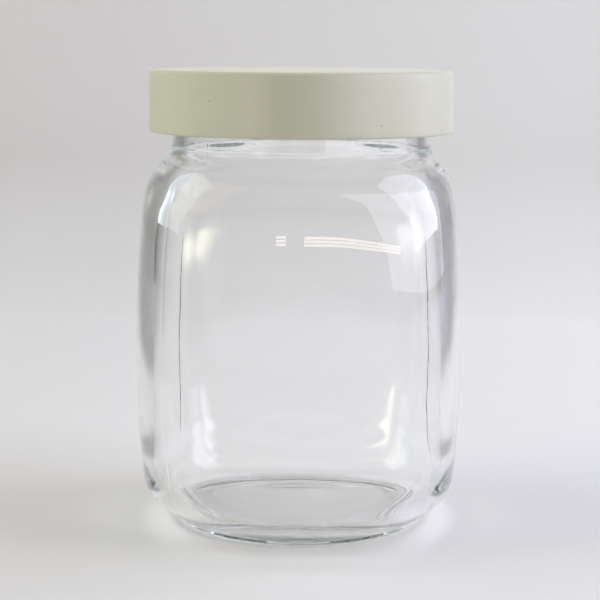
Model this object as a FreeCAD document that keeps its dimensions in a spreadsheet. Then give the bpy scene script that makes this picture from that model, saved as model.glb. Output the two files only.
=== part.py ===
# Square-shouldered glass storage jar with a double-walled plastic screw lid.
#
# Frame: the origin is the centre of the foot ring, on the surface the jar stands on.  +Z is up,
# -Y is the front face, and the jar's four flat-sided faces look along +X, -X, +Y and -Y.
# All lengths are millimetres.

import FreeCAD, Part
import Sketcher
import math
import os

V = FreeCAD.Vector
AXIS_Z = V(0, 0, 1)

doc = FreeCAD.newDocument("screw_lid_jar")


# ---------------------------------------------------------------- driving dimensions

sheet = doc.addObject("Spreadsheet::Sheet", "sizes")

SIZES = [
    # glass finish (the round threaded mouth)
    ("collar_height", 127.1, "mould parting ring between shoulder and neck"),
    ("neck_radius", 43.4, "outside of the neck between the threads"),
    ("mouth_radius", 39.5, "clear bore of the mouth"),
    ("mouth_start", 122.0, "lower end of the straight bore"),
    ("rim_height", 149.2, "sealing face of the glass"),
    ("rim_outer_round", 1.2, "outer rounding of the rim"),
    ("rim_inner_round", 1.0, "inner rounding of the rim"),
    # foot and base
    ("foot_radius", 41.0, "outside of the round foot ring"),
    ("foot_height", 4.0, "height of the foot ring, up into the body"),
    ("foot_round", 0.8, "rounding of the foot ring's outer edge"),
    ("push_up_radius", 36.8, "edge of the hollow under the base"),
    ("push_up_depth", 3.4, "depth of that hollow at its centre"),
    # single-start thread, shared by the glass and the inner cap
    ("thread_pitch", 5.08, "five threads to the inch"),
    ("thread_turns", 1.25, "length of each thread in turns"),
    ("thread_start", 139.0, "height of the glass thread where it starts"),
    ("thread_root", 1.15, "half width of a thread at its root"),
    ("thread_crest", 0.55, "half width of a thread at its crest"),
    ("thread_depth", 1.3, "how far a thread stands out"),
    ("thread_sink", 0.4, "how far a thread's root is buried in its wall"),
    ("thread_gap", 0.4, "clearance between the two threads, all round"),
    # outer lid shell
    ("lid_radius", 51.0, "outside of the lid at its lower edge"),
    ("lid_draft", 0.2, "how much narrower the lid is at its top"),
    ("lid_base", 132.5, "height of the lid's lower edge"),
    ("lid_top", 153.2, "height of the lid's top face"),
    ("lid_wall", 2.0, "wall of the outer shell"),
    ("lid_roof", 1.8, "thickness of the shell's top"),
    ("lid_top_round", 1.3, "rounding of the lid's top edge"),
    ("lid_base_round", 0.6, "rounding of the lid's lower edge"),
    # inner threaded cap and sealing wad
    ("cap_wall", 1.8, "wall of the threaded cap"),
    ("cap_roof", 1.2, "thickness of the cap's top"),
    ("cap_lift", 0.6, "how far the cap sits above the shell's lower edge"),
    ("cap_flange", 1.6, "thickness of the flange that closes the double wall"),
    ("cap_grip", 0.05, "interference of that flange in the shell"),
    ("rib_width", 1.2, "thickness of a stiffening rib"),
    ("rib_count", 12, "number of stiffening ribs"),
    ("wad_radius", 44.6, "radius of the foam sealing wad"),
]

# Rounded-square sections of the glass: height, half width across the flats, radius of the face
# arcs.  A face radius equal to the half width makes the section a circle.
OUTER_SECTIONS = [
    (2.0, 42.5, 42.5),
    (4.5, 45.8, 51.0),
    (8.0, 49.4, 67.0),
    (12.0, 52.0, 86.0),
    (20.0, 53.5, 115.0),
    (36.0, 54.6, 147.0),
    (57.0, 55.1, 162.0),
    (80.0, 54.7, 170.0),
    (100.0, 53.5, 165.0),
    (111.0, 52.3, 148.0),
    (117.0, 50.9, 125.0),
    (121.0, 48.2, 88.0),
    (124.5, 45.2, 57.0),
    (127.1, 43.9, 43.9),
]
INNER_SECTIONS = [
    (7.5, 33.0, 38.0),
    (9.0, 39.5, 50.0),
    (12.5, 44.0, 68.0),
    (20.0, 47.8, 96.0),
    (36.0, 49.7, 130.0),
    (57.0, 50.4, 150.0),
    (82.0, 49.9, 152.0),
    (102.0, 48.7, 140.0),
    (112.0, 47.2, 112.0),
    (119.0, 43.6, 72.0),
    (124.0, 40.2, 44.0),
    (127.5, 38.9, 38.9),
]
SECTION_FIELDS = ("height", "half", "face")


def fill_sheet():
    """Write every driving dimension into the sheet as an aliased cell."""
    rows = list(SIZES)
    for family, sections in (("outer", OUTER_SECTIONS), ("inner", INNER_SECTIONS)):
        for index, section in enumerate(sections, start=1):
            for field, number in zip(SECTION_FIELDS, section):
                rows.append(("%s_%d_%s" % (family, index, field), number, "section of the glass"))
    for row, (alias, number, meaning) in enumerate(rows, start=1):
        sheet.set("A%d" % row, alias)
        sheet.set("B%d" % row, str(number))
        sheet.set("C%d" % row, meaning)
        sheet.setAlias("B%d" % row, alias)
    doc.recompute()


def size(alias):
    return float(getattr(sheet, alias))


def cell(expression):
    """Name the sheet in an expression, so that `neck_radius + 1` reads the sheet's cell."""
    words = expression.split(" ")
    return " ".join("sizes." + word if word[0].isalpha() else word for word in words)


# ---------------------------------------------------------------- sketch and feature helpers

def origin_plane(body, role):
    for feature in body.Origin.OriginFeatures:
        if feature.Role == role:
            return feature
    raise ValueError("no origin plane " + role)


def closed_profile(body, name, corners):
    """Sketch on the body's XZ plane: a closed polygon whose corners are (radius, height)
    expressions of the sheet.  A radius of "0" puts the corner on the axis."""
    sketch = body.newObject("Sketcher::SketchObject", name)
    sketch.AttachmentSupport = (origin_plane(body, "XZ_Plane"), [""])
    sketch.MapMode = "FlatFace"
    points = [V(*(float(sheet.evalExpression(cell(text))) for text in corner), 0) for corner in corners]
    count = len(points)
    for index in range(count):
        sketch.addGeometry(Part.LineSegment(points[index], points[(index + 1) % count]), False)
    for index in range(count):
        joint = Sketcher.Constraint("Coincident", index, 2, (index + 1) % count, 1)
        sketch.addConstraint(joint)
    for index, (radius, height) in enumerate(corners):
        for kind, axis, text in (("DistanceX", -2, radius), ("DistanceY", -1, height)):
            if text == "0":
                sketch.addConstraint(Sketcher.Constraint("PointOnObject", index, 1, axis))
                continue
            number = float(sheet.evalExpression(cell(text)))
            added = sketch.addConstraint(Sketcher.Constraint(kind, -1, 1, index, 1, number))
            sketch.setExpression("Constraints[%d]" % added, cell(text))
    return sketch


def revolve(body, name, corners):
    sketch = closed_profile(body, name + "_profile", corners)
    turned = body.newObject("PartDesign::Revolution", name)
    turned.Profile = sketch
    turned.ReferenceAxis = (sketch, ["V_Axis"])
    turned.Angle = 360
    doc.recompute()
    return turned


def round_edges(body, name, base, rings, radius):
    """Fillet the circular edges of `base` that lie at the given (radius, height) rings."""
    names = []
    for number, edge in enumerate(base.Shape.Edges, start=1):
        if not isinstance(edge.Curve, Part.Circle):
            continue
        for ring_radius, ring_height in rings:
            near_radius = abs(edge.Curve.Radius - ring_radius) < 0.01
            near_height = abs(edge.Curve.Center.z - ring_height) < 0.01
            if near_radius and near_height:
                names.append("Edge%d" % number)
    if len(names) != len(rings):
        raise ValueError("%s found %d of %d edges" % (name, len(names), len(rings)))
    fillet = body.newObject("PartDesign::Fillet", name)
    fillet.Base = (base, names)
    fillet.setExpression("Radius", cell(radius))
    doc.recompute()
    return fillet


def helical_thread(body, name, root, crest, start):
    """Right-handed thread bead: its root line is at radius `root`, its crest at `crest`."""
    corners = [
        (root, start + " - thread_root"),
        (crest, start + " - thread_crest"),
        (crest, start + " + thread_crest"),
        (root, start + " + thread_root"),
    ]
    sketch = closed_profile(body, name + "_profile", corners)
    before = body.Tip.Shape.Volume
    helix = body.newObject("PartDesign::AdditiveHelix", name)
    helix.Profile = sketch
    helix.ReferenceAxis = (sketch, ["V_Axis"])
    helix.Mode = "pitch-turns-angle"
    helix.setExpression("Pitch", cell("thread_pitch"))
    helix.setExpression("Turns", cell("thread_turns"))
    helix.LeftHanded = False
    doc.recompute()
    if helix.Shape.Volume <= before:
        raise ValueError(name + " added no material")
    return helix


def new_body(label):
    body = doc.addObject("PartDesign::Body", label)
    body.Label = label
    doc.recompute()
    return body


# ---------------------------------------------------------------- the glass jar

JOINT_ANGLE = math.radians(34.0)  # polar angle at which face arcs meet corner arcs


def rounded_square(height, half, face):
    """Closed wire of four face arcs and four corner arcs, tangent to one another."""
    half_arc = JOINT_ANGLE - math.asin((1.0 - half / face) * math.sin(JOINT_ANGLE))
    joint = V(half - face + face * math.cos(half_arc), face * math.sin(half_arc), height)
    corner_radius = (joint.x - joint.y) / (math.cos(half_arc) - math.sin(half_arc))
    corner_centre = joint.x - corner_radius * math.cos(half_arc)
    diagonal = corner_centre + corner_radius * math.sqrt(0.5)
    face_arc = Part.Arc(V(joint.x, -joint.y, height), V(half, 0, height), joint).toShape()
    corner_arc = Part.Arc(joint, V(diagonal, diagonal, height), V(joint.y, joint.x, height)).toShape()
    edges = []
    for quarter in range(4):
        for arc in (face_arc, corner_arc):
            turned = arc.copy()
            turned.rotate(V(0, 0, 0), AXIS_Z, 90 * quarter)
            edges.append(turned)
    return Part.Wire(edges)


def blown_form(name, family, count):
    """Solid lofted smoothly through one family of rounded-square sections."""
    wires = []
    for index in range(1, count + 1):
        wires.append(rounded_square(*(size("%s_%d_%s" % (family, index, field)) for field in SECTION_FIELDS)))
    form = doc.addObject("Part::Feature", name)
    form.Shape = Part.makeLoft(wires, True, False)
    return form


def make_finish():
    """Neck of the jar: plain cylinder, rounded rim and one external thread."""
    body = new_body("finish")
    neck = revolve(body, "neck", [
        ("0", "mouth_start"),
        ("neck_radius", "mouth_start"),
        ("neck_radius", "rim_height"),
        ("0", "rim_height"),
    ])
    rim = [(size("neck_radius"), size("rim_height"))]
    round_edges(body, "rim_outer_edge", neck, rim, "rim_outer_round")
    helical_thread(body, "glass_thread", "neck_radius - thread_sink", "neck_radius + thread_depth",
                   "thread_start")
    return body


def make_foot_ring():
    body = new_body("foot")
    disc = revolve(body, "foot_disc", [
        ("0", "0"),
        ("foot_radius", "0"),
        ("foot_radius", "foot_height"),
        ("0", "foot_height"),
    ])
    round_edges(body, "foot_edge", disc, [(size("foot_radius"), 0.0)], "foot_round")
    return body


def make_mouth():
    """Tool that opens the mouth: a straight bore that flares over the rim's inner rounding."""
    body = new_body("mouth")
    bore = revolve(body, "mouth_bore", [
        ("0", "mouth_start"),
        ("mouth_radius", "mouth_start"),
        ("mouth_radius", "rim_height"),
        ("mouth_radius + 4 * rim_inner_round", "rim_height"),
        ("mouth_radius + 4 * rim_inner_round", "rim_height + 2 * rim_inner_round"),
        ("0", "rim_height + 2 * rim_inner_round"),
    ])
    corner = [(size("mouth_radius"), size("rim_height"))]
    round_edges(body, "rim_inner_edge", bore, corner, "rim_inner_round")
    return body


def make_push_up():
    """Ball whose top bulges into the base and leaves the foot ring standing round it."""
    ball = doc.addObject("Part::Sphere", "push_up")
    radius = "(push_up_radius ^ 2 + push_up_depth ^ 2) / (2 * push_up_depth)"
    formula = radius.replace("push_up", "sizes.push_up")
    ball.setExpression("Radius", formula)
    ball.setExpression("Placement.Base.z", "sizes.push_up_depth - " + formula)
    return ball


def make_glass_jar():
    skin = doc.addObject("Part::MultiFuse", "glass_skin")
    skin.Shapes = [blown_form("outer_form", "outer", len(OUTER_SECTIONS)), make_finish(), make_foot_ring()]
    hollow = doc.addObject("Part::MultiFuse", "glass_hollow")
    hollow.Shapes = [blown_form("inner_form", "inner", len(INNER_SECTIONS)), make_mouth(), make_push_up()]
    jar = doc.addObject("Part::Cut", "glass_jar")
    jar.Base = skin
    jar.Tool = hollow
    jar.Label = "glass_jar"
    doc.recompute()
    return jar


# ---------------------------------------------------------------- the lid

def make_lid_shell():
    """Outer shell of the lid: a smooth drafted cup, open downwards."""
    body = new_body("lid_shell")
    cup = revolve(body, "shell_cup", [
        ("0", "lid_top"),
        ("lid_radius - lid_draft", "lid_top"),
        ("lid_radius", "lid_base"),
        ("lid_radius - lid_wall", "lid_base"),
        ("lid_radius - lid_wall", "lid_top - lid_roof"),
        ("0", "lid_top - lid_roof"),
    ])
    top_edge = [(size("lid_radius") - size("lid_draft"), size("lid_top"))]
    rounded = round_edges(body, "shell_top_edge", cup, top_edge, "lid_top_round")
    low_edge = [(size("lid_radius"), size("lid_base"))]
    round_edges(body, "shell_low_edge", rounded, low_edge, "lid_base_round")
    return body


CAP_BORE = "neck_radius + thread_depth + thread_gap"
CAP_OUTSIDE = CAP_BORE + " + cap_wall"
CAP_BASE = "lid_base + cap_lift"


def make_inner_cap():
    """Threaded cap pressed into the shell, with a flange that closes the double wall."""
    body = new_body("lid_inner_cap")
    revolve(body, "cap_cup", [
        ("0", "lid_top - lid_roof"),
        (CAP_OUTSIDE, "lid_top - lid_roof"),
        (CAP_OUTSIDE, CAP_BASE + " + cap_flange"),
        ("lid_radius - lid_wall + cap_grip", CAP_BASE + " + cap_flange"),
        ("lid_radius - lid_wall + cap_grip", CAP_BASE),
        (CAP_BORE, CAP_BASE),
        (CAP_BORE, "lid_top - lid_roof - cap_roof"),
        ("0", "lid_top - lid_roof - cap_roof"),
    ])
    helical_thread(body, "cap_thread", CAP_BORE + " + thread_sink", "neck_radius + thread_gap",
                   "thread_start - thread_root - thread_crest - thread_gap")
    add_ribs(body)
    return body


def add_ribs(body):
    """Radial ribs on the cap's skirt that stiffen the shell."""
    sketch = closed_profile(body, "rib_profile", [
        (CAP_OUTSIDE + " - thread_sink", CAP_BASE + " + cap_flange - thread_sink"),
        ("lid_radius - lid_wall - thread_gap", CAP_BASE + " + cap_flange - thread_sink"),
        ("lid_radius - lid_wall - thread_gap", "lid_top - lid_roof - cap_roof"),
        (CAP_OUTSIDE + " - thread_sink", "lid_top - lid_roof - cap_roof"),
    ])
    before = body.Tip.Shape.Volume
    rib = body.newObject("PartDesign::Pad", "rib")
    rib.Profile = sketch
    rib.setExpression("Length", cell("rib_width"))
    rib.Midplane = True
    doc.recompute()
    ribs = body.newObject("PartDesign::PolarPattern", "ribs")
    ribs.Originals = [rib]
    ribs.Axis = (sketch, ["V_Axis"])
    ribs.Angle = 360
    ribs.setExpression("Occurrences", cell("rib_count"))
    body.Tip = ribs
    doc.recompute()
    if body.Shape.Volume <= before:
        raise ValueError("the ribs added no material")


def make_wad():
    """Foam disc that seals the cap against the glass rim."""
    wad = doc.addObject("Part::Cylinder", "lid_liner")
    wad.Label = "lid_liner"
    wad.setExpression("Radius", cell("wad_radius"))
    wad.setExpression("Height", cell("lid_top - lid_roof - cap_roof - rim_height"))
    wad.setExpression("Placement.Base.z", cell("rim_height"))
    doc.recompute()
    return wad


# ---------------------------------------------------------------- build, check and write

def check_document(parts):
    for feature in doc.Objects:
        if "Invalid" in feature.State or "Error" in feature.State:
            raise RuntimeError("%s failed: %s" % (feature.Label, feature.State))
    for part in parts:
        shape = part.Shape
        if shape.isNull() or not shape.isValid() or len(shape.Solids) != 1:
            raise RuntimeError("%s is not one valid solid" % part.Label)
        box = shape.BoundBox
        print("%-14s %10.1f mm3  z %.2f to %.2f  x %.2f to %.2f"
              % (part.Label, shape.Volume, box.ZMin, box.ZMax, box.XMin, box.XMax))


fill_sheet()
PARTS = [make_glass_jar(), make_lid_shell(), make_inner_cap(), make_wad()]
doc.recompute()
check_document(PARTS)

os.makedirs("parts", exist_ok=True)
for part in PARTS:
    part.Shape.exportStep("parts/%s.step" % part.Label)
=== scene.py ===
"""Looks of a clear glass jar with a cream screw lid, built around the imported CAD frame.

Every outline below is in millimetres, as in the CAD model, and becomes metres when its mesh is made.
The jar's axis is the Z axis, and its front face looks towards -Y.
"""

import math

import bpy
import numpy as np
from mathutils import Matrix, Vector, noise


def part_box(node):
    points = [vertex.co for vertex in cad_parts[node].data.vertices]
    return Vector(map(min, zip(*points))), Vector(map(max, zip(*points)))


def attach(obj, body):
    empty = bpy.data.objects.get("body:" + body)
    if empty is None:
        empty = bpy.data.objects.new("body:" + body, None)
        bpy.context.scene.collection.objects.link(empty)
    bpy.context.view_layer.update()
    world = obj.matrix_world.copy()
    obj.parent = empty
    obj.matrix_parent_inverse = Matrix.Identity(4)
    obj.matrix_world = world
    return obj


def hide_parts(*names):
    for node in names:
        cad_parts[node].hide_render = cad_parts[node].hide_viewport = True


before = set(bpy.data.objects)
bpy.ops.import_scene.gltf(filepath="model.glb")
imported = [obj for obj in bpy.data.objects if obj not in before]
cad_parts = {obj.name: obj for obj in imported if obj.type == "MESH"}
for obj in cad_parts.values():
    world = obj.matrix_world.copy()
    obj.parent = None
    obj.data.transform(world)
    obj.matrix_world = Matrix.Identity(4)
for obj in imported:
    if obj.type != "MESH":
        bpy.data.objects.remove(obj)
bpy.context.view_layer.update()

MM = 0.001

# ---------------------------------------------------------------- sizes shared with the CAD model

GLASS_LOW, GLASS_HIGH = (Vector(corner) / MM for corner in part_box("glass_jar"))
SHELL_LOW, SHELL_HIGH = (Vector(corner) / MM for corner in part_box("lid_shell"))
WAD_LOW, WAD_HIGH = (Vector(corner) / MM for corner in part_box("lid_liner"))
CAP_LOW, CAP_HIGH = (Vector(corner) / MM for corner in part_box("lid_inner_cap"))

RIM_HEIGHT = GLASS_HIGH.z
COLLAR_HEIGHT = 127.1
COLLAR_RADIUS = 43.9
NECK_RADIUS = 43.4
MOUTH_RADIUS = 39.5
FOOT_RADIUS = 41.0
PUSH_UP_RADIUS = 36.8
PUSH_UP_DEPTH = 3.0

THREAD_PITCH = 5.08
THREAD_TURNS = 1.25
THREAD_START = 139.0
THREAD_ROOT = 1.15
THREAD_CREST = 0.55
THREAD_DEPTH = 1.3
THREAD_GAP = 0.4
THREAD_RUN_OUT = 0.03  # share of a turn over which each end of the thread rises

OUTLINE_STEP = 0.6  # spacing of the rings along the body and the cavity
NECK_STEP = 0.4  # longest run between rings on the threaded parts
JAR_STEPS = 360  # steps round the jar, shell, and cap or wad
SHELL_STEPS = 256
CAP_STEPS = 192

# Rounded-square sections: height, half width across the flats, squareness.  Squareness is 0 for a
# circle and rises as the faces flatten: it is 1 minus half width over the radius of the face arcs.
OUTER_SECTIONS = [
    (2.4, 43.2, 0.02),
    (4.5, 45.8, 0.10),
    (8.0, 49.4, 0.26),
    (12.0, 52.0, 0.40),
    (20.0, 53.5, 0.535),
    (36.0, 54.6, 0.63),
    (57.0, 55.1, 0.66),
    (80.0, 54.7, 0.68),
    (100.0, 53.5, 0.675),
    (111.0, 52.3, 0.645),
    (117.0, 50.9, 0.59),
    (121.0, 48.2, 0.45),
    (124.5, 45.2, 0.21),
    (127.1, 43.9, 0.0),
]
INNER_SECTIONS = [
    (5.8, 30.0, 0.08),
    (6.8, 38.4, 0.18),
    (9.8, 44.6, 0.34),
    (16.0, 48.5, 0.5),
    (34.0, 50.2, 0.62),
    (57.0, 50.4, 0.66),
    (82.0, 49.9, 0.67),
    (102.0, 48.7, 0.65),
    (112.0, 47.2, 0.58),
    (119.0, 43.6, 0.39),
    (123.0, 40.6, 0.12),
    (126.0, 39.5, 0.0),
]


# ---------------------------------------------------------------- curves

def natural_spline(knots, values, targets):
    """Natural cubic spline through (knots, values), read at targets.  values may have columns."""
    knots, values = np.asarray(knots, float), np.asarray(values, float)
    gaps = np.diff(knots)
    count = len(knots)
    system = np.eye(count)
    right = np.zeros_like(values)
    for i in range(1, count - 1):
        system[i, i - 1:i + 2] = gaps[i - 1], 2 * (gaps[i - 1] + gaps[i]), gaps[i]
        right[i] = 6 * ((values[i + 1] - values[i]) / gaps[i] - (values[i] - values[i - 1]) / gaps[i - 1])
    bend = np.linalg.solve(system, right)
    index = np.clip(np.searchsorted(knots, targets) - 1, 0, count - 2)
    gap = gaps[index][:, None]
    after = (targets - knots[index])[:, None]
    before = gap - after
    return (
        (bend[index] * before ** 3 + bend[index + 1] * after ** 3) / (6 * gap)
        + (values[index] / gap - bend[index] * gap / 6) * before
        + (values[index + 1] / gap - bend[index + 1] * gap / 6) * after
    )


def smooth_sections(sections, spacing):
    """Dense (height, half width, squareness) rows along a smooth curve through the sections."""
    table = np.array(sections)
    steps = np.hypot(np.diff(table[:, 0]), np.diff(table[:, 1]))
    chord = np.concatenate([[0], np.cumsum(steps)])
    count = int(chord[-1] / spacing) + 1
    rows = natural_spline(chord, table, np.linspace(0, chord[-1], count))
    rows[:, 1] = np.minimum(rows[:, 1], GLASS_HIGH.x)
    rows[:, 2] = np.clip(rows[:, 2], 0, None)
    return rows


def fillet_path(corners, degrees=9.0):
    """Open path through (radius, height, rounding) corners, with each rounding drawn as an arc."""
    points = []
    for i, (radius, height, rounding) in enumerate(corners):
        here = Vector((radius, height))
        if rounding == 0 or i in (0, len(corners) - 1):
            points.append(here)
            continue
        back = (Vector(corners[i - 1][:2]) - here).normalized()
        ahead = (Vector(corners[i + 1][:2]) - here).normalized()
        half = back.angle(ahead) / 2
        centre = here + (back + ahead).normalized() * rounding / math.sin(half)
        first = here + back * rounding / math.tan(half) - centre
        turn = math.pi - 2 * half
        sense = 1 if first.y * back.x - first.x * back.y > 0 else -1
        count = max(2, round(math.degrees(turn) / degrees))
        for k in range(count + 1):
            angle = sense * turn * k / count
            cosine, sine = math.cos(angle), math.sin(angle)
            spoke = Vector((first.x * cosine - first.y * sine, first.x * sine + first.y * cosine))
            points.append(centre + spoke)
    return points


def divide(points, longest):
    """Split long runs of a path, so that no run is longer than `longest`."""
    dense = [points[0]]
    for start, end in zip(points, points[1:]):
        count = max(1, math.ceil((end - start).length / longest))
        dense.extend(start.lerp(end, k / count) for k in range(1, count + 1))
    return dense


# ---------------------------------------------------------------- meshes

def even_angles(count):
    return np.arange(count) * 2 * math.pi / count


def grid_mesh(name, rings):
    """Closed mesh from rings of points in millimetres.  The first and last ring shrink to a pole."""
    rings = np.asarray(rings, float) * MM
    count, around = rings.shape[:2]
    inner = rings[1:-1].reshape(-1, 3)
    points = np.vstack([rings[0, 0], inner, rings[-1, 0]])
    top = len(points) - 1
    faces = []
    for j in range(around):
        k = (j + 1) % around
        faces.append((0, 1 + k, 1 + j))
        for i in range(count - 3):
            low, high = 1 + i * around, 1 + (i + 1) * around
            faces.append((low + j, low + k, high + k, high + j))
        last = 1 + (count - 3) * around
        faces.append((last + j, last + k, top))
    mesh = bpy.data.meshes.new(name)
    mesh.from_pydata([tuple(p) for p in points], [], faces)
    mesh.update()
    piece = bpy.data.objects.new(name, mesh)
    bpy.context.scene.collection.objects.link(piece)
    mesh.polygons.foreach_set("use_smooth", [True] * len(mesh.polygons))
    return piece


def lathe_rings(path, angles):
    """Rings of a (radius, height) path turned about the Z axis."""
    rings = np.zeros((len(path), len(angles), 3))
    for i, point in enumerate(path):
        rings[i, :, 0] = point[0] * np.cos(angles)
        rings[i, :, 1] = point[0] * np.sin(angles)
        rings[i, :, 2] = point[1]
    return rings


def push_out(rings, distance):
    """Move each ring point away from the Z axis by the matching distance."""
    radius = np.maximum(np.hypot(rings[..., 0], rings[..., 1]), 1e-9)
    rings[..., 0] += rings[..., 0] / radius * distance
    rings[..., 1] += rings[..., 1] / radius * distance
    return rings


def thread_relief(rings, start):
    """Height of a helical bead, from 0 to 1, at each ring point."""
    turn = (np.arctan2(rings[..., 1], rings[..., 0]) / (2 * math.pi)) % 1.0
    relief = np.zeros_like(turn)
    for lap in range(math.ceil(THREAD_TURNS) + 1):
        along = turn + lap
        away = np.abs(rings[..., 2] - start - THREAD_PITCH * along)
        bead = np.clip((THREAD_ROOT - away) / (THREAD_ROOT - THREAD_CREST), 0, 1)
        ends = np.clip(along / THREAD_RUN_OUT, 0, 1)
        ends = ends * np.clip((THREAD_TURNS - along) / THREAD_RUN_OUT, 0, 1)
        relief = np.maximum(relief, bead * bead * (3 - 2 * bead) * ends)
    return relief


# ---------------------------------------------------------------- glass jar

JOINT_ANGLE = math.radians(34.0)  # polar angle at which face arcs meet corner arcs
CORNER_BLEND = math.radians(3.0)  # how far face and corner run into each other
BLEND_WEIGHTS = {-1.6: 0.1, -0.8: 0.24, 0.0: 0.32, 0.8: 0.24, 1.6: 0.1}  # shift: share, for that
SEAM_ANGLE = math.radians(49.0)  # mould seams stand at this polar angle and opposite
SKIN_INSET = 0.05  # keeps the wavy skin inside the CAD model's box
SEAM_WIDTH = math.radians(0.3)
SEAM_HEIGHT = 0.04
FOOT_HEIGHT = 2.1
FLOOR_CROWN = 1.6  # how far the inner floor rises towards its middle
FLOOR_RINGS = 32
RIPPLE_SKIN = (0.06, 24.0)  # height and length of the outer skin's waves
RIPPLE_FINE = (0.035, 6.5)  # the same for the inside's fine ripple
RIPPLE_BROAD = (0.22, 26.0)  # and for its broad waves
WALL_FOLDS = (math.radians(157), math.radians(8))  # wavering upright folds inside the wall
FOLD_HEIGHT = 0.36
FOLD_WIDTH = math.radians(0.42)
FOLD_LOW, FOLD_LOW_FADE = 22, 12  # height where the folds start, and how soon they are full
FOLD_HIGH, FOLD_HIGH_FADE = 100, 15
FOLD_STRENGTH, FOLD_WAVER = 0.65, 0.6  # even part of a fold's height, and the part that wavers
FOLD_WAVER_LENGTH = 2.2
FOLD_SWAY, FOLD_SWAY_LENGTH = 0.8, 6  # sideways wander, in fold widths, and its length
SEAM_OFFSETS = [math.radians(degrees) for degrees in (-0.9, -0.45, -0.2, 0, 0.2, 0.45, 0.9)]


def section_radius(angles, half, squareness):
    """Radius of a rounded square in each polar direction."""
    if squareness < 1e-4:
        return np.full_like(angles, half)
    face = half / (1 - squareness)
    half_arc = JOINT_ANGLE - math.asin(squareness * math.sin(JOINT_ANGLE))
    joint_x = half - face + face * math.cos(half_arc)
    joint_y = face * math.sin(half_arc)
    corner = (joint_x - joint_y) / (math.cos(half_arc) - math.sin(half_arc))
    corner_at = joint_x - corner * math.cos(half_arc)
    total = np.zeros_like(angles)
    for shift, weight in BLEND_WEIGHTS.items():
        turned = angles + shift * CORNER_BLEND
        folded = np.abs((turned + math.pi / 4) % (math.pi / 2) - math.pi / 4)
        on_face = (half - face) * np.cos(folded)
        on_face = on_face + np.sqrt(face ** 2 - ((half - face) * np.sin(folded)) ** 2)
        along = corner_at * (np.cos(folded) + np.sin(folded))
        across = np.maximum(corner ** 2 - 2 * corner_at ** 2 + along ** 2, 0)
        on_corner = along + np.sqrt(across)
        total += weight * np.where(folded < JOINT_ANGLE, on_face, on_corner)
    return total


def section_rings(rows, angles):
    rings = np.zeros((len(rows), len(angles), 3))
    for i, (height, half, squareness) in enumerate(rows):
        radius = section_radius(angles, half, squareness)
        rings[i, :, 0] = radius * np.cos(angles)
        rings[i, :, 1] = radius * np.sin(angles)
        rings[i, :, 2] = height
    return rings


def ripple(rings, height, length, seed):
    """Soft uneven waves of blown glass, as distances between -height and 0."""
    wave = np.zeros(rings.shape[:2])
    for i in range(rings.shape[0]):
        for j in range(rings.shape[1]):
            point = Vector(rings[i, j]) / length + Vector((seed, 0, 0))
            wave[i, j] = noise.noise(point)
    return height * (wave - 1) / 2


def jar_angles():
    """Even steps round the jar, with finer ones at the mould seams and wall folds."""
    angles = set(np.round(even_angles(JAR_STEPS), 6))
    for seam in (SEAM_ANGLE, SEAM_ANGLE + math.pi, *WALL_FOLDS):
        angles.update(round(seam + offset, 6) for offset in SEAM_OFFSETS)
    return np.array(sorted(angles))


def seam_relief(angles):
    """Height of the mould seams in each polar direction."""
    away = np.abs((angles - SEAM_ANGLE + math.pi / 2) % math.pi - math.pi / 2)
    return SEAM_HEIGHT * np.exp(-(away / SEAM_WIDTH) ** 2)


def fold_relief(rings):
    """Height of the upright folds, which waver and fade out towards the shoulder and the base."""
    relief = np.zeros(rings.shape[:2])
    turn = np.arctan2(rings[..., 1], rings[..., 0]) % (2 * math.pi)
    for i, ring in enumerate(rings):
        height = ring[0, 2]
        fade = np.clip((height - FOLD_LOW) / FOLD_LOW_FADE, 0, 1)
        fade = fade * np.clip((FOLD_HIGH - height) / FOLD_HIGH_FADE, 0, 1)
        for fold in WALL_FOLDS:
            waver = noise.noise(Vector((height / FOLD_WAVER_LENGTH, fold, 0)))
            sway = noise.noise(Vector((height / FOLD_SWAY_LENGTH, 0, fold)))
            middle = fold + FOLD_WIDTH * FOLD_SWAY * sway
            ridge = np.exp(-((turn[i] - middle) / FOLD_WIDTH) ** 2)
            relief[i] += FOLD_HEIGHT * fade * (FOLD_STRENGTH + FOLD_WAVER * waver) * ridge
    return relief


def push_up_path():
    """Domed hollow under the base, from the axis out to the foot ring."""
    ball = (PUSH_UP_RADIUS ** 2 + PUSH_UP_DEPTH ** 2) / (2 * PUSH_UP_DEPTH)
    radii = np.linspace(0, PUSH_UP_RADIUS - 0.6, 26)
    return [(r, PUSH_UP_DEPTH - ball + math.sqrt(ball ** 2 - r ** 2)) for r in radii]


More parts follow.
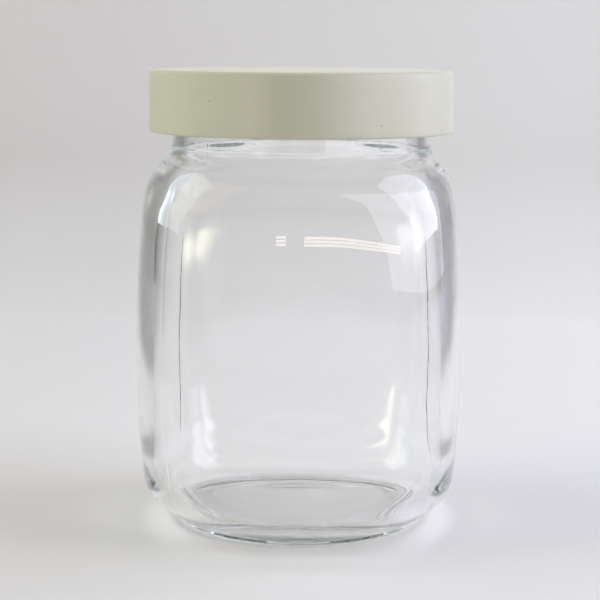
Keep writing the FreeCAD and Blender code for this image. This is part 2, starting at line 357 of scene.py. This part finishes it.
def make_jar():
    angles = jar_angles()
    seams = seam_relief(angles)
    body_height, body_half, _ = OUTER_SECTIONS[0]

    foot = fillet_path([
        (PUSH_UP_RADIUS - 0.5, 0.12, 0),
        (PUSH_UP_RADIUS, 0, 0.5),
        (FOOT_RADIUS, 0, 0.9),
        (FOOT_RADIUS, FOOT_HEIGHT, 0.7),
        (body_half, body_height, 0),
    ])
    under = lathe_rings(push_up_path() + [tuple(p) for p in foot[1:-1]], angles)

    body = section_rings(smooth_sections(OUTER_SECTIONS, OUTLINE_STEP)[:-1], angles)
    push_out(body, -SKIN_INSET)
    push_out(body, seams[None, :])
    push_out(body, ripple(body, *RIPPLE_SKIN, seed=3.1))

    neck_path = divide(fillet_path([
        (COLLAR_RADIUS, COLLAR_HEIGHT, 0),
        (COLLAR_RADIUS, COLLAR_HEIGHT + 0.35, 0.15),
        (NECK_RADIUS, COLLAR_HEIGHT + 0.7, 0.3),
        (NECK_RADIUS, RIM_HEIGHT, 1.2),
        (MOUTH_RADIUS, RIM_HEIGHT, 1.0),
        (MOUTH_RADIUS, INNER_SECTIONS[-1][0], 0),
    ]), NECK_STEP)
    neck = lathe_rings(neck_path, angles)
    outside = np.hypot(neck[..., 0], neck[..., 1]) > (NECK_RADIUS + MOUTH_RADIUS) / 2
    below_thread = neck[..., 2] < THREAD_START
    push_out(neck, outside * THREAD_DEPTH * thread_relief(neck, THREAD_START))
    push_out(neck, outside * below_thread * seams[None, :])

    cavity = section_rings(smooth_sections(INNER_SECTIONS, OUTLINE_STEP)[::-1][1:], angles)
    push_out(cavity, -fold_relief(cavity))
    push_out(cavity, ripple(cavity, *RIPPLE_FINE, seed=7.7))
    push_out(cavity, ripple(cavity, *RIPPLE_BROAD, seed=11.3))

    floor_height = INNER_SECTIONS[0][0]
    floor = []
    for share in np.linspace(0.97, 0, FLOOR_RINGS):
        ring = cavity[-1].copy()
        ring[:, :2] *= share
        ring[:, 2] = floor_height + FLOOR_CROWN * (1 - share ** 3)
        floor.append(ring)

    rings = np.concatenate([under, body, neck, cavity, np.array(floor)])
    jar = grid_mesh("jar_glass", rings)
    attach(jar, "jar")
    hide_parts("glass_jar")
    return jar


# ---------------------------------------------------------------- lid

LID_RADIUS = SHELL_HIGH.x
LID_DRAFT = 0.2
SHELL_WALL = 2.0
SHELL_ROOF = SHELL_HIGH.z - CAP_HIGH.z
CAP_BORE = NECK_RADIUS + THREAD_DEPTH + THREAD_GAP
CAP_WALL = 1.8
CAP_OUTSIDE = CAP_BORE + CAP_WALL
CAP_FLANGE = 1.6
RIB_COUNT = 12
RIB_WIDTH = 1.2
RIB_SINK = 0.4  # how far a rib runs into the cap
RIB_ROUNDING = 0.15
BOX_FACES = ((0, 1, 3, 2), (4, 6, 7, 5), (0, 4, 5, 1), (2, 3, 7, 6), (0, 2, 6, 4), (1, 5, 7, 3))


def make_shell():
    top, base = SHELL_HIGH.z, SHELL_LOW.z
    path = fillet_path([
        (0, top, 0),
        (LID_RADIUS - LID_DRAFT, top, 1.3),
        (LID_RADIUS, base, 0.6),
        (LID_RADIUS - SHELL_WALL, base, 0.3),
        (LID_RADIUS - SHELL_WALL, top - SHELL_ROOF, 0.5),
        (0, top - SHELL_ROOF, 0),
    ])
    shell = grid_mesh("lid_outer_shell", lathe_rings(divide(path, 3.0), even_angles(SHELL_STEPS)))
    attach(shell, "lid")
    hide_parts("lid_shell")
    return shell


def make_cap():
    """Inner threaded cap, with its flange at the bottom; the ribs round its skirt are made by make_ribs.
    """
    top, base = CAP_HIGH.z, CAP_LOW.z
    ceiling = WAD_HIGH.z
    flange_radius = LID_RADIUS - SHELL_WALL
    path = divide(fillet_path([
        (0, top, 0),
        (CAP_OUTSIDE, top, 0.4),
        (CAP_OUTSIDE, base + CAP_FLANGE, 0.3),
        (flange_radius, base + CAP_FLANGE, 0.2),
        (flange_radius, base, 0.3),
        (CAP_BORE, base, 0.5),
        (CAP_BORE, ceiling, 0.15),
        (0, ceiling, 0),
    ]), NECK_STEP)
    rings = lathe_rings(path, even_angles(CAP_STEPS))
    radius = np.hypot(rings[..., 0], rings[..., 1])
    in_bore = (np.abs(radius - CAP_BORE) < 0.3) & (rings[..., 2] < ceiling - 1)
    start = THREAD_START - THREAD_ROOT - THREAD_CREST - THREAD_GAP
    push_out(rings, in_bore * -THREAD_DEPTH * thread_relief(rings, start))
    cap = grid_mesh("lid_threaded_cap", rings)
    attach(cap, "lid")
    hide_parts("lid_inner_cap")
    return cap


def make_ribs():
    """Radial ribs between the cap's skirt and the shell, as one piece of separate thin plates."""
    inner, outer = CAP_OUTSIDE - RIB_SINK, LID_RADIUS - SHELL_WALL - THREAD_GAP
    low, high = CAP_LOW.z + CAP_FLANGE - RIB_SINK, WAD_HIGH.z
    points, faces = [], []
    for number in range(RIB_COUNT):
        angle = 2 * math.pi * number / RIB_COUNT
        turn = Matrix.Rotation(angle, 3, "Z")
        base = len(points)
        for x in (inner, outer):
            for y in (-RIB_WIDTH / 2, RIB_WIDTH / 2):
                for z in (low, high):
                    points.append(tuple(turn @ Vector((x, y, z)) * MM))
        for face in BOX_FACES:
            faces.append(tuple(base + corner for corner in face))
    mesh = bpy.data.meshes.new("lid_cap_ribs")
    mesh.from_pydata(points, [], faces)
    ribs = bpy.data.objects.new("lid_cap_ribs", mesh)
    bpy.context.scene.collection.objects.link(ribs)
    rounding = ribs.modifiers.new("edge_rounding", "BEVEL")
    rounding.width = RIB_ROUNDING * MM
    rounding.segments = 2
    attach(ribs, "lid")
    return ribs


def make_wad():
    """Foam sealing disc, with soft edges."""
    path = fillet_path([
        (0, WAD_HIGH.z, 0),
        (WAD_HIGH.x, WAD_HIGH.z, 0.25),
        (WAD_HIGH.x, WAD_LOW.z, 0.25),
        (0, WAD_LOW.z, 0),
    ])
    wad = grid_mesh("lid_foam_wad", lathe_rings(divide(path, 2.0), even_angles(CAP_STEPS)))
    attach(wad, "wad")
    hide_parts("lid_liner")
    return wad


# ---------------------------------------------------------------- materials

def new_material(name):
    material = bpy.data.materials.new(name)
    material.use_nodes = True
    nodes = material.node_tree.nodes
    return material, nodes, material.node_tree.links, nodes["Principled BSDF"]


def add_node(nodes, kind, **settings):
    node = nodes.new(kind)
    for key, value in settings.items():
        if key in node.inputs:
            node.inputs[key].default_value = value
        else:
            setattr(node, key, value)
    return node


GLASS_IOR = 1.52
GLASS_DENSITY = 2.2
GLASS_TINT = (0.7, 0.92, 0.86, 1)


def glass_material():
    material, nodes, links, shader = new_material("clear_soda_glass")
    shader.inputs["Base Color"].default_value = (1, 1, 1, 1)
    shader.inputs["Roughness"].default_value = 0.0
    shader.inputs["IOR"].default_value = GLASS_IOR
    shader.inputs["Transmission Weight"].default_value = 1.0
    absorption = add_node(nodes, "ShaderNodeVolumeAbsorption", Density=GLASS_DENSITY)
    absorption.inputs["Color"].default_value = GLASS_TINT
    output = nodes["Material Output"]
    links.new(absorption.outputs["Volume"], output.inputs["Volume"])
    return material


SPECK_SPACING = 6.0 * MM
SPECK_RADIUS = 0.3 * MM
SPECK_COLOUR = (0.2, 0.18, 0.14, 1)
GLOSS_SPREAD = (-0.04, 0.06)  # how far roughness strays from its middle value
GRAIN_SCALE = 1400.0
GRAIN_STRENGTH = 0.08
GRAIN_DEPTH = 0.00005


def add_specks(nodes, links, place, surface):
    """Scatter a few tiny dark specks over the colour that `surface` gives, and return the result."""
    cells = add_node(nodes, "ShaderNodeTexVoronoi", Scale=1 / SPECK_SPACING)
    links.new(place.outputs["Object"], cells.inputs["Vector"])
    edge = add_node(nodes, "ShaderNodeMapRange", interpolation_type="SMOOTHSTEP")
    edge.inputs["From Min"].default_value = 0.4 * SPECK_RADIUS / SPECK_SPACING
    edge.inputs["From Max"].default_value = SPECK_RADIUS / SPECK_SPACING
    links.new(cells.outputs["Distance"], edge.inputs["Value"])
    specks = add_node(nodes, "ShaderNodeMix", data_type="RGBA")
    specks.inputs["A"].default_value = SPECK_COLOUR
    links.new(edge.outputs["Result"], specks.inputs["Factor"])
    links.new(surface, specks.inputs["B"])
    return specks.outputs["Result"]


def plastic_material(name, colour, shade, roughness, mottle_scale, specked=False):
    """Moulded plastic: slight mottling in colour and gloss, and a fine moulding texture."""
    material, nodes, links, shader = new_material(name)
    place = add_node(nodes, "ShaderNodeTexCoord")
    mottle = add_node(nodes, "ShaderNodeTexNoise", Scale=mottle_scale, Detail=4.0, Roughness=0.6)
    links.new(place.outputs["Object"], mottle.inputs["Vector"])
    tint = add_node(nodes, "ShaderNodeMix", data_type="RGBA")
    tint.inputs["A"].default_value = (*colour, 1)
    tint.inputs["B"].default_value = (*shade, 1)
    links.new(mottle.outputs["Fac"], tint.inputs["Factor"])
    surface = tint.outputs["Result"]
    if specked:
        surface = add_specks(nodes, links, place, surface)
    links.new(surface, shader.inputs["Base Color"])
    gloss = add_node(nodes, "ShaderNodeMapRange")
    gloss.inputs["To Min"].default_value = roughness + GLOSS_SPREAD[0]
    gloss.inputs["To Max"].default_value = roughness + GLOSS_SPREAD[1]
    links.new(mottle.outputs["Fac"], gloss.inputs["Value"])
    links.new(gloss.outputs["Result"], shader.inputs["Roughness"])
    grain = add_node(nodes, "ShaderNodeTexNoise", Scale=GRAIN_SCALE, Detail=2.0)
    links.new(place.outputs["Object"], grain.inputs["Vector"])
    bump = add_node(nodes, "ShaderNodeBump", Strength=GRAIN_STRENGTH, Distance=GRAIN_DEPTH)
    links.new(grain.outputs["Fac"], bump.inputs["Height"])
    links.new(bump.outputs["Normal"], shader.inputs["Normal"])
    return material


def put_material(piece, material):
    piece.data.materials.clear()
    piece.data.materials.append(material)


# ---------------------------------------------------------------- stage, light and camera

CAMERA_DISTANCE = 0.596
CAMERA_HEIGHT = 0.1632
CAMERA_AZIMUTH = math.radians(2.0)
CAMERA_PITCH = 0.1468
CAMERA_ROLL = 0.0058
CAMERA_LENS = 105.7
SENSOR = 36.0


def make_camera():
    """Camera at the photograph's viewing angle: slightly above the lid, looking down at the jar."""
    turn = Matrix.Rotation(CAMERA_AZIMUTH, 3, "Z")
    cosine, sine = math.cos(CAMERA_PITCH), math.sin(CAMERA_PITCH)
    ahead = turn @ Vector((0, cosine, -sine))
    level = turn @ Vector((1, 0, 0))
    upright = level.cross(ahead)
    right = level * math.cos(CAMERA_ROLL) + upright * math.sin(CAMERA_ROLL)
    up = upright * math.cos(CAMERA_ROLL) - level * math.sin(CAMERA_ROLL)
    place = turn @ Vector((0, -CAMERA_DISTANCE, CAMERA_HEIGHT))
    data = bpy.data.cameras.new("photo_camera")
    data.lens = CAMERA_LENS
    data.sensor_width = SENSOR
    data.clip_start = 0.01
    camera = bpy.data.objects.new("photo_camera", data)
    camera.matrix_world = Matrix.Translation(place) @ Matrix((right, up, -ahead)).transposed().to_4x4()
    bpy.context.scene.collection.objects.link(camera)
    bpy.context.scene.camera = camera


SWEEP_WIDTH = 4.4
SWEEP_FRONT = -2.6
SWEEP_BACK = 0.5
SWEEP_CURVE = 0.09
SWEEP_HEIGHT = 1.3
PAINTED_LIGHT_LEFT = (0.965, 0.95, 0.945, 1)  # painted light on the paper: darker and warmer left of the jar, brighter right of it
PAINTED_LIGHT_RIGHT = (1.06, 1.055, 1.035, 1)
PAINTED_LIGHT_SPREAD = 0.13
PAINTED_SIDE_SHADE = (0.19, 0.35, 0.5)  # painted shade: beyond this far sideways, up to there, the paper darkens to this share, where the light falls off
# Painted shade on the paper by height (metres): darkest 30 mm up, inside the curve between floor and
# wall, where shade falls.
PAINTED_SHADE_BY_HEIGHT = {0.0: 0.80, 0.003: 0.765, 0.01: 0.745, 0.03: 0.725, 0.07: 0.745, 0.125: 0.785, 0.18: 0.80}


def paper_material():
    """Paper with painted shade by height, painted light from left to right and painted shade far to the
    sides; clear from behind.
    """
    material, nodes, links, shader = new_material("pale_paper")
    place = add_node(nodes, "ShaderNodeTexCoord")
    axes = add_node(nodes, "ShaderNodeSeparateXYZ")
    links.new(place.outputs["Object"], axes.inputs["Vector"])
    # Painted shade by height, darkest in the curve between floor and wall.
    shade = add_node(nodes, "ShaderNodeValToRGB")
    shade.color_ramp.elements.remove(shade.color_ramp.elements[1])
    for height, grey in PAINTED_SHADE_BY_HEIGHT.items():
        stop = shade.color_ramp.elements.new(height)
        stop.color = (grey, grey * 0.99, grey * 0.99, 1)
    shade.color_ramp.elements.remove(shade.color_ramp.elements[0])
    links.new(axes.outputs["Z"], shade.inputs["Fac"])
    # Painted light: the paper is darker on the left and brighter on the right, as if lit from the right.
    across = add_node(nodes, "ShaderNodeMapRange")
    across.inputs["From Min"].default_value = -PAINTED_LIGHT_SPREAD
    across.inputs["From Max"].default_value = PAINTED_LIGHT_SPREAD
    links.new(axes.outputs["X"], across.inputs["Value"])
    tint = add_node(nodes, "ShaderNodeMix", data_type="RGBA")
    tint.inputs["A"].default_value = PAINTED_LIGHT_LEFT
    tint.inputs["B"].default_value = PAINTED_LIGHT_RIGHT
    links.new(across.outputs["Result"], tint.inputs["Factor"])
    both = add_node(nodes, "ShaderNodeMix", data_type="RGBA", blend_type="MULTIPLY")
    both.inputs["Factor"].default_value = 1.0
    links.new(shade.outputs["Color"], both.inputs["A"])
    links.new(tint.outputs["Result"], both.inputs["B"])
    # Painted shade: the paper darkens far to either side of the jar, where the light falls off.
    sideways = add_node(nodes, "ShaderNodeMath", operation="ABSOLUTE")
    links.new(axes.outputs["X"], sideways.inputs[0])
    side_shade = add_node(nodes, "ShaderNodeMapRange", interpolation_type="SMOOTHSTEP")
    side_shade.inputs["From Min"].default_value = PAINTED_SIDE_SHADE[0]
    side_shade.inputs["From Max"].default_value = PAINTED_SIDE_SHADE[1]
    side_shade.inputs["To Min"].default_value = 1.0
    side_shade.inputs["To Max"].default_value = PAINTED_SIDE_SHADE[2]
    links.new(sideways.outputs["Value"], side_shade.inputs["Value"])
    darkened = add_node(nodes, "ShaderNodeVectorMath", operation="SCALE")
    links.new(both.outputs["Result"], darkened.inputs["Vector"])
    links.new(side_shade.outputs["Result"], darkened.inputs["Scale"])
    links.new(darkened.outputs["Vector"], shader.inputs["Base Color"])
    shader.inputs["Roughness"].default_value = 0.9
    shader.inputs["Specular IOR Level"].default_value = 0.1
    side = add_node(nodes, "ShaderNodeNewGeometry")
    clear = add_node(nodes, "ShaderNodeBsdfTransparent")
    one_sided = add_node(nodes, "ShaderNodeMixShader")  # so that the jar is seen from behind the wall
    links.new(side.outputs["Backfacing"], one_sided.inputs["Fac"])
    links.new(shader.outputs["BSDF"], one_sided.inputs[1])
    links.new(clear.outputs["BSDF"], one_sided.inputs[2])
    links.new(one_sided.outputs["Shader"], nodes["Material Output"].inputs["Surface"])
    return material


def make_sweep():
    """Pale paper sweep: a floor that curves up into a wall behind the jar."""
    profile = fillet_path([
        (SWEEP_FRONT, 0, 0),
        (SWEEP_BACK, 0, SWEEP_CURVE),
        (SWEEP_BACK, SWEEP_HEIGHT, 0),
    ])
    points, faces = [], []
    for place in profile:
        points.extend([(-SWEEP_WIDTH / 2, *place), (SWEEP_WIDTH / 2, *place)])
    for i in range(len(profile) - 1):
        faces.append((2 * i, 2 * i + 1, 2 * i + 3, 2 * i + 2))
    mesh = bpy.data.meshes.new("sweep")
    mesh.from_pydata(points, [], faces)
    mesh.polygons.foreach_set("use_smooth", [True] * len(mesh.polygons))
    sweep = bpy.data.objects.new("sweep", mesh)
    bpy.context.scene.collection.objects.link(sweep)
    put_material(sweep, paper_material())


LIGHT_TARGET = Vector((0, 0, 0.08))

# name: azimuth, elevation (degrees, seen from the jar), distance, width, height (metres),
# power (watts), colour.  These light everything and leave no reflection.
SOFT_LIGHTS = {
    "right_side": (2, 34, 1.0, 1.0, 1.2, 10.4, (0.808, 0.817, 1)),
    "left_side": (178, 32, 1.1, 0.95, 1.1, 6.2, (0.806, 0.919, 1)),
    "left_front": (-160, 36, 1.1, 1.0, 0.9, 2.55, (1, 0.824, 0.314)),
}
# Lights that only show as reflections in gloss and glass.
SHEEN_LIGHTS = {
    "window_sheen": (-25, 22, 0.92, 1.84, 0.85, 11.0, (0.92, 0.92, 1.0)),
    "window_glow": (-40, 9, 0.88, 0.6, 0.34, 1.1, (0.95, 0.95, 1.0)),
    "left_panel": (-137, 6, 1.0, 0.9, 0.36, 0.4, (1, 0.975, 0.9)),
    "left_lamp": (-124, 5, 0.95, 0.34, 0.2, 0.55, (1.0, 1.0, 0.72)),
    "blind_high": (-75.6, 5.6, 1.6, 0.8, 0.013, 0.22, (1.0, 0.82, 0.68)),
    "blind_middle": (-75.6, 5.0, 1.6, 0.8, 0.013, 0.22, (1.0, 0.82, 0.68)),
    "blind_low": (-75.6, 4.4, 1.6, 0.8, 0.013, 0.18, (1.0, 0.88, 0.68)),
    "blind_end_high": (-95.6, 5.6, 1.6, 0.07, 0.012, 0.018, (1.0, 0.85, 0.75)),
    "blind_end_middle": (-95.6, 5.0, 1.6, 0.07, 0.012, 0.018, (1.0, 0.85, 0.75)),
    "blind_end_low": (-95.6, 4.4, 1.6, 0.07, 0.012, 0.018, (1.0, 0.85, 0.75)),
}
# Lights that shine on the lid's shell alone: its pale right end and the bright line along its top edge.
LID_LIGHTS = {
    "lid_right": (40, 12, 1.0, 0.8, 0.5, 3.8, (0.84, 0.88, 1.0)),
    "lid_rear": (75, 15, 0.45, 0.9, 0.2, 0.22, (1.0, 1.0, 1.0)),
}
# These are reflected by the outer skin only.
SKIN_LIGHTS = ("window_sheen", *(name for name in SHEEN_LIGHTS if name.startswith("blind")))
GLOWING_LIGHTS = ("window_glow", "left_lamp")  # these fade from a bright middle to dark edges
GLOW_STRENGTH = 3.0  # of their middle
ROOM_LIGHT = (0.28, 0.28, 0.27)
GLOSS_BLUR = 0.2  # low, so that light still reaches the floor through the jar
GLASS_BOUNCES = 40  # enough for light that runs along inside the glass to leave it


def fade_out(data):
    """Make an area light bright in its middle and dark at its edges."""
    data.use_nodes = True
    nodes, links = data.node_tree.nodes, data.node_tree.links
    place = add_node(nodes, "ShaderNodeNewGeometry")
    away = add_node(nodes, "ShaderNodeVectorMath", operation="DISTANCE")
    away.inputs[1].default_value = (0.5, 0.5, 0)
    strength = add_node(nodes, "ShaderNodeMapRange", interpolation_type="SMOOTHERSTEP")
    strength.inputs["From Max"].default_value = 0.5
    strength.inputs["To Min"].default_value = GLOW_STRENGTH
    strength.inputs["To Max"].default_value = 0.0
    links.new(place.outputs["Parametric"], away.inputs[0])
    links.new(away.outputs["Value"], strength.inputs["Value"])
    links.new(strength.outputs["Result"], nodes["Emission"].inputs["Strength"])


def shine_on(light, piece):
    """Let a light reach one piece and nothing else."""
    receivers = bpy.data.collections.new(light.name + "_receivers")
    receivers.objects.link(piece)
    light.light_linking.receiver_collection = receivers


def make_lights(lid_shell):
    lights = SOFT_LIGHTS | SHEEN_LIGHTS | LID_LIGHTS
    for name, (azimuth, elevation, distance, width, height, power, colour) in lights.items():
        data = bpy.data.lights.new(name, "AREA")
        data.shape = "RECTANGLE"
        data.size = width
        data.size_y = height
        data.energy = power
        data.color = colour
        if name in GLOWING_LIGHTS:
            fade_out(data)
        turn = Matrix.Rotation(math.radians(azimuth), 3, "Z")
        lift = Matrix.Rotation(-math.radians(elevation), 3, "Y")
        toward = turn @ lift @ Vector((1, 0, 0))
        light = bpy.data.objects.new(name, data)
        light.visible_diffuse = name in SOFT_LIGHTS
        light.visible_glossy = name not in SOFT_LIGHTS
        light.visible_transmission = name not in SKIN_LIGHTS
        light.visible_camera = False
        light.location = LIGHT_TARGET + toward * distance
        light.rotation_euler = (-toward).to_track_quat("-Z", "Y").to_euler()
        bpy.context.scene.collection.objects.link(light)
        if name in LID_LIGHTS:
            shine_on(light, lid_shell)
    world = bpy.data.worlds.new("room")
    world.use_nodes = True
    world.node_tree.nodes["Background"].inputs["Color"].default_value = (*ROOM_LIGHT, 1)
    world.node_tree.nodes["Background"].inputs["Strength"].default_value = 1.0
    bpy.context.scene.world = world


jar = make_jar()
shell = make_shell()
cap = make_cap()
ribs = make_ribs()
wad = make_wad()

put_material(jar, glass_material())
cream = plastic_material(
    "cream_polypropylene", (0.70, 0.695, 0.565), (0.66, 0.655, 0.51), 0.37, 60.0, specked=True)
white = plastic_material("white_polypropylene", (0.78, 0.78, 0.74), (0.74, 0.74, 0.7), 0.42, 80.0)
foam = plastic_material("foam_polyethylene", (0.82, 0.82, 0.8), (0.74, 0.74, 0.72), 0.75, 900.0)
put_material(shell, cream)
put_material(cap, white)
put_material(ribs, white)
put_material(wad, foam)

make_sweep()
make_lights(shell)
make_camera()
bpy.context.scene.view_settings.view_transform = "Standard"
cycles = bpy.context.scene.cycles
cycles.blur_glossy = GLOSS_BLUR
cycles.max_bounces = cycles.transmission_bounces = cycles.glossy_bounces = GLASS_BOUNCES
